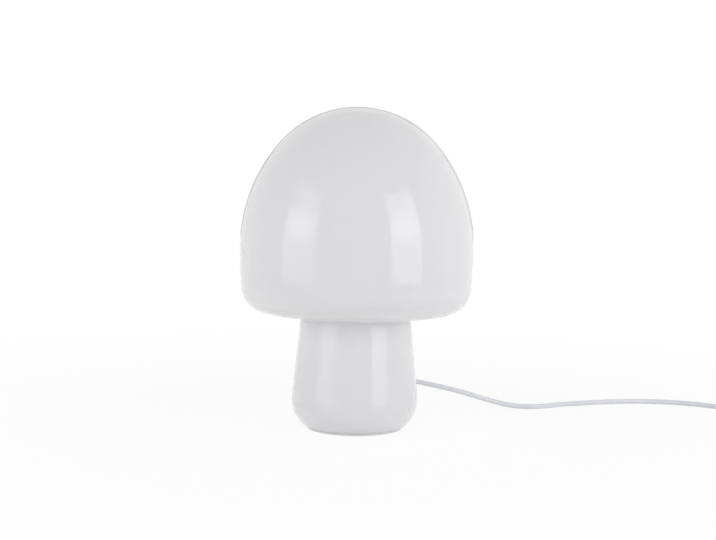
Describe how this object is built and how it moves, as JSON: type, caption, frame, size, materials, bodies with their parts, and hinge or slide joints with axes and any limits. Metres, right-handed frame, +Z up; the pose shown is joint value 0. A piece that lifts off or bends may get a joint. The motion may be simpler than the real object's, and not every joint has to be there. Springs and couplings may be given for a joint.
{
  "type": "mushroom table lamp",
  "caption": "One-piece white opal glass mushroom lamp: domed cap on a flared stem, base unit with lampholder and bulb inside, thin cord with rocker switch, coil and plug.",
  "frame": {"origin": "On the table, in the middle of the foot ring", "axes": "+Z up along the lamp's axis, +Y out of the back where the cord leaves, +X to the right seen from the front"},
  "size_m": [0.4949, 0.3796, 0.2749],
  "materials": {
    "opal_glass": "glossy white opal glass",
    "white_rubber": "matte",
    "foot_silicone": "matte",
    "plate_paint": "satin white",
    "spring_steel": "brushed",
    "zinc_steel": "zinc plated",
    "holder_plastic": "matte",
    "insert_ceramic": "matte",
    "brass_parts": "plain",
    "clamp_plastic": "matte",
    "white_cord": "satin",
    "brown_core": "satin",
    "blue_core": "satin",
    "switch_plastic": "satin white",
    "rocker_plastic": "glossy white",
    "plug_plastic": "satin white",
    "nickel_pins": "nickel plated",
    "bulb_opal": "satin opal",
    "bulb_white": "satin white",
    "board_aluminium": "plain",
    "cap_nickel": "nickel plated",
    "black_glass": "glossy"
  },
  "bodies": {
    "base": {"base_plate": "plate_paint", "foot_ring": "foot_silicone", "rim_gasket": "white_rubber", "spring_clip_1": "spring_steel", "spring_clip_2": "spring_steel", "spring_clip_3": "spring_steel", "clip_rivet_1": "spring_steel", "clip_rivet_2": "spring_steel", "clip_rivet_3": "spring_steel", "riser_tube": "zinc_steel", "lower_nut": "zinc_steel", "upper_nut": "zinc_steel", "lock_washer": "zinc_steel", "cord_clamp": "clamp_plastic", "clamp_screw_1": "zinc_steel", "clamp_screw_2": "zinc_steel", "inner_lead": "white_cord", "core_lead_1": "brown_core", "core_lead_2": "blue_core", "holder_cap": "holder_plastic", "holder_set_screw": "zinc_steel", "holder_skirt": "holder_plastic", "holder_insert": "insert_ceramic", "screw_shell": "brass_parts", "centre_contact": "brass_parts", "terminal_1": "brass_parts", "terminal_2": "brass_parts", "cord_lead": "white_cord", "switch_base": "switch_plastic", "switch_cover": "switch_plastic", "switch_screw_1": "zinc_steel", "switch_screw_2": "zinc_steel", "cord_tail": "white_cord", "cord_coil": "white_cord", "cord_end": "white_cord", "plug_body": "plug_plastic", "plug_pin_1": "nickel_pins", "plug_pin_2": "nickel_pins"},
    "glass": {"glass_body": "opal_glass", "cord_grommet": "white_rubber"},
    "bulb": {"bulb_dome": "bulb_opal", "bulb_housing": "bulb_white", "bulb_board": "board_aluminium", "bulb_screw_cap": "cap_nickel", "bulb_insulator": "black_glass", "bulb_contact": "cap_nickel"},
    "rocker": {"switch_rocker": "rocker_plastic"}
  },
  "joints": [
    {"name": "glass_lift", "type": "slide", "parent": "base", "child": "glass", "axis": [0, 0, 1], "range_m": [0, 0.18], "deforming": ["inner_lead", "cord_lead"]},
    {"name": "bulb_unscrew", "type": "slide", "parent": "base", "child": "bulb", "axis": [0, 0, 1], "range_m": [0, 0.028]},
    {"name": "switch_rock", "type": "hinge", "parent": "base", "child": "rocker", "pos_m": [0.376, 0.022, 0.0132], "axis": [1, 0, 0], "range_deg": [0, 14]}
  ]
}
